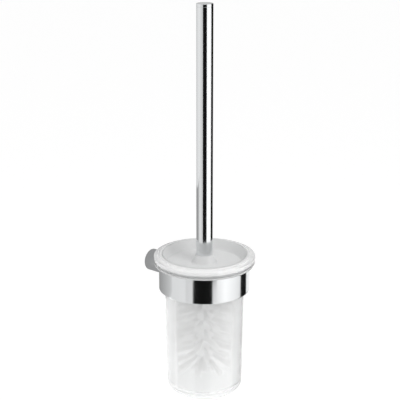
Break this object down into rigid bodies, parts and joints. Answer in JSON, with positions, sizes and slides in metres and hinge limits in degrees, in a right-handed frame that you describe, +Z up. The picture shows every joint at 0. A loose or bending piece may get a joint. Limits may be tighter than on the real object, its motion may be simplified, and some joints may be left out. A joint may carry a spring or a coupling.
{
  "type": "toilet brush holder",
  "caption": "Wall-mounted toilet brush set: a support ring on a round post carries a glass jar, and a brush with a tubular handle and dished lid hangs in it.",
  "frame": {"origin": "centre of the wall bracket's back face, on the wall plane and on the axis of the post", "axes": "+Y into the wall, -Y out into the room towards the jar, +Z up along the handle, +X to the right for someone who faces the wall"},
  "size_m": [0.1, 0.12, 0.3885],
  "materials": {
    "chrome": "polished chrome plate",
    "zinc": "die-cast zinc",
    "steel": "stainless steel",
    "brass": "turned brass",
    "clear_glass": "clear outside, satin inside",
    "satin_glass": "satin white",
    "clear_plastic": "translucent white plastic",
    "seal": "clear silicone",
    "white_plastic": "moulded white plastic",
    "bristle": "white nylon bristles"
  },
  "bodies": {
    "root": {"wall_bracket": "zinc", "post": "chrome", "grub_screw": "steel", "support_ring": "chrome", "ring_screw": "steel", "saddle_washer": "steel"},
    "glide": {"glide_ring": "clear_plastic"},
    "jar": {"glass_jar": "clear_glass"},
    "seal": {"lid_seal": "seal"},
    "brush": {"lid": "satin_glass", "foot_gasket": "seal", "handle_tube": "chrome", "end_cap": "chrome", "tube_insert": "brass", "stem_rod": "steel", "lid_washer": "steel", "lid_nut": "steel", "brush_stem": "white_plastic"},
    "head_ring": {"head_seal": "seal"},
    "head": {"brush_core": "white_plastic", "tufts_row_1": "bristle", "tufts_row_2": "bristle", "tufts_row_3": "bristle", "tufts_row_4": "bristle", "tufts_row_5": "bristle", "tufts_row_6": "bristle", "tufts_row_7": "bristle", "tip_tufts": "bristle"}
  },
  "joints": [
    {"name": "jar_turn", "type": "hinge", "parent": "root", "child": "glide", "pos_m": [0, -0.07, 0], "axis": [0, 0, 1], "continuous": true},
    {"name": "jar_lift", "type": "slide", "parent": "glide", "child": "jar", "axis": [0, 0, 1], "range_m": [0, 0.15]},
    {"name": "brush_lift", "type": "slide", "parent": "jar", "child": "seal", "axis": [0, 0, 1], "range_m": [0, 0.15]},
    {"name": "brush_turn", "type": "hinge", "parent": "seal", "child": "brush", "pos_m": [0, -0.07, 0], "axis": [0, 0, 1], "continuous": true},
    {"name": "head_drop", "type": "slide", "parent": "brush", "child": "head_ring", "axis": [0, 0, -1], "range_m": [0, 0.009]},
    {"name": "head_turn", "type": "hinge", "parent": "head_ring", "child": "head", "pos_m": [0, -0.07, 0], "axis": [0, 0, 1], "range_deg": [0, 1080]}
  ],
  "couplings": [
    {"joint": "head_drop", "follows": "head_turn", "m_per_rad": 0.00047746}
  ]
}
